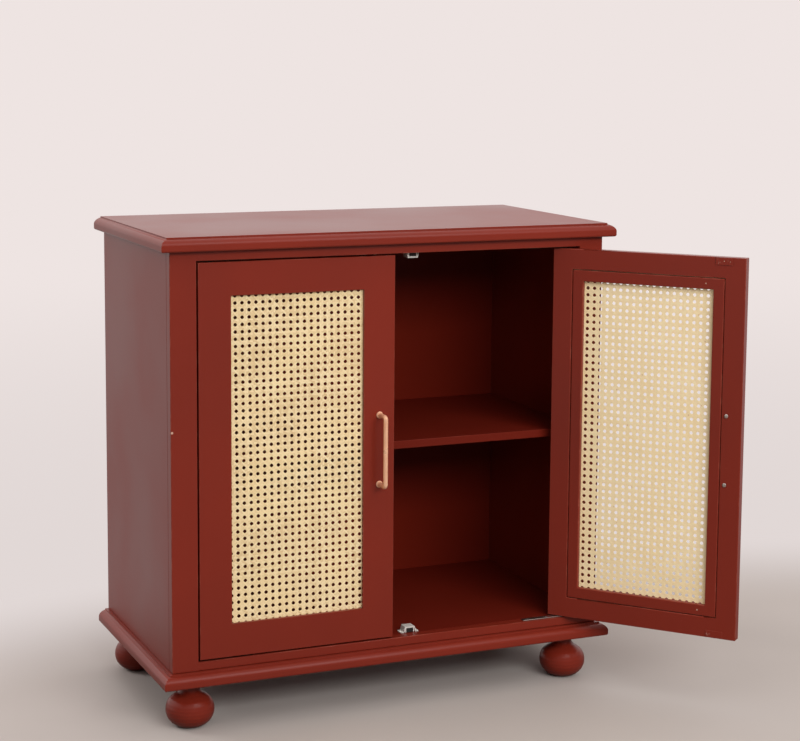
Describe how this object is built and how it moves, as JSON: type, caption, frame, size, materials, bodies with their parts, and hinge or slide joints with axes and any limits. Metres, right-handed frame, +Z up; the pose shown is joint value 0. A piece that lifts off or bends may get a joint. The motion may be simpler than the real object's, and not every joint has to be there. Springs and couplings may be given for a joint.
{
  "type": "two-door cabinet",
  "caption": "Low painted cupboard with framed cane-panel doors on pivot hinges, moulded top and base boards, an inner shelf and turned bun feet.",
  "frame": {"origin": "the middle of the whole part's footprint at floor level, with the right door standing open", "axes": "+X along the front towards the right, +Y from the front to the back, +Z up"},
  "size_m": [1.0354, 0.6984, 0.886],
  "materials": {
    "red_paint": "satin brick-red paint over wood",
    "inside_paint": "satin brick-red paint inside the carcass, in its shade",
    "cane": "natural woven cane, unvarnished",
    "rose_brass": "copper-coloured brass, satin polish",
    "bright_steel": "bright zinc-plated steel",
    "ferrite": "dark sintered ferrite",
    "strike_paint": "thin steel plate painted over in the door's red"
  },
  "bodies": {
    "carcass": {"top_board": "red_paint", "base_board": "red_paint", "side_panel_left": "red_paint", "side_panel_right": "red_paint", "frame_stile_left": "red_paint", "frame_stile_right": "red_paint", "frame_rail_top": "red_paint", "frame_rail_bottom": "red_paint", "back_panel": "inside_paint", "ceiling_panel": "inside_paint", "floor_panel": "inside_paint", "shelf": "red_paint", "foot_front_left": "red_paint", "foot_front_right": "red_paint", "foot_rear_left": "red_paint", "foot_rear_right": "red_paint", "catch_bottom_left": "bright_steel", "catch_bottom_right": "bright_steel", "catch_top_left": "bright_steel", "catch_top_right": "bright_steel", "magnet_bottom_left": "ferrite", "magnet_bottom_right": "ferrite", "magnet_top_left": "ferrite", "magnet_top_right": "ferrite", "pivot_plate_bottom_left": "bright_steel", "pivot_plate_bottom_right": "bright_steel", "pivot_plate_top_left": "bright_steel", "pivot_plate_top_right": "bright_steel"},
    "left_door": {"left_door_stile_hinge": "red_paint", "left_door_stile_meeting": "red_paint", "left_door_rail_bottom": "red_paint", "left_door_rail_top": "red_paint", "left_door_cane": "cane", "left_door_strip_hinge": "red_paint", "left_door_strip_meeting": "red_paint", "left_door_strip_bottom": "red_paint", "left_door_strip_top": "red_paint", "left_door_bush_bottom": "bright_steel", "left_door_bush_top": "bright_steel", "left_door_handle": "rose_brass", "left_door_handle_screw_bottom": "bright_steel", "left_door_handle_screw_top": "bright_steel", "left_door_strike_bottom": "strike_paint", "left_door_strike_top": "strike_paint"},
    "right_door": {"right_door_stile_hinge": "red_paint", "right_door_stile_meeting": "red_paint", "right_door_rail_bottom": "red_paint", "right_door_rail_top": "red_paint", "right_door_cane": "cane", "right_door_strip_hinge": "red_paint", "right_door_strip_meeting": "red_paint", "right_door_strip_bottom": "red_paint", "right_door_strip_top": "red_paint", "right_door_bush_bottom": "bright_steel", "right_door_bush_top": "bright_steel", "right_door_handle": "rose_brass", "right_door_handle_screw_bottom": "bright_steel", "right_door_handle_screw_top": "bright_steel", "right_door_strike_bottom": "strike_paint", "right_door_strike_top": "strike_paint"}
  },
  "joints": [
    {"name": "left_door_hinge", "type": "hinge", "parent": "carcass", "child": "left_door", "pos_m": [-0.42619, -0.07728, 0.486], "axis": [0, 0, -1], "range_deg": [0, 134]},
    {"name": "right_door_hinge", "type": "hinge", "parent": "carcass", "child": "right_door", "pos_m": [0.27581, -0.07728, 0.486], "axis": [0, 0, 1], "range_deg": [-130.5, 3.5]}
  ]
}
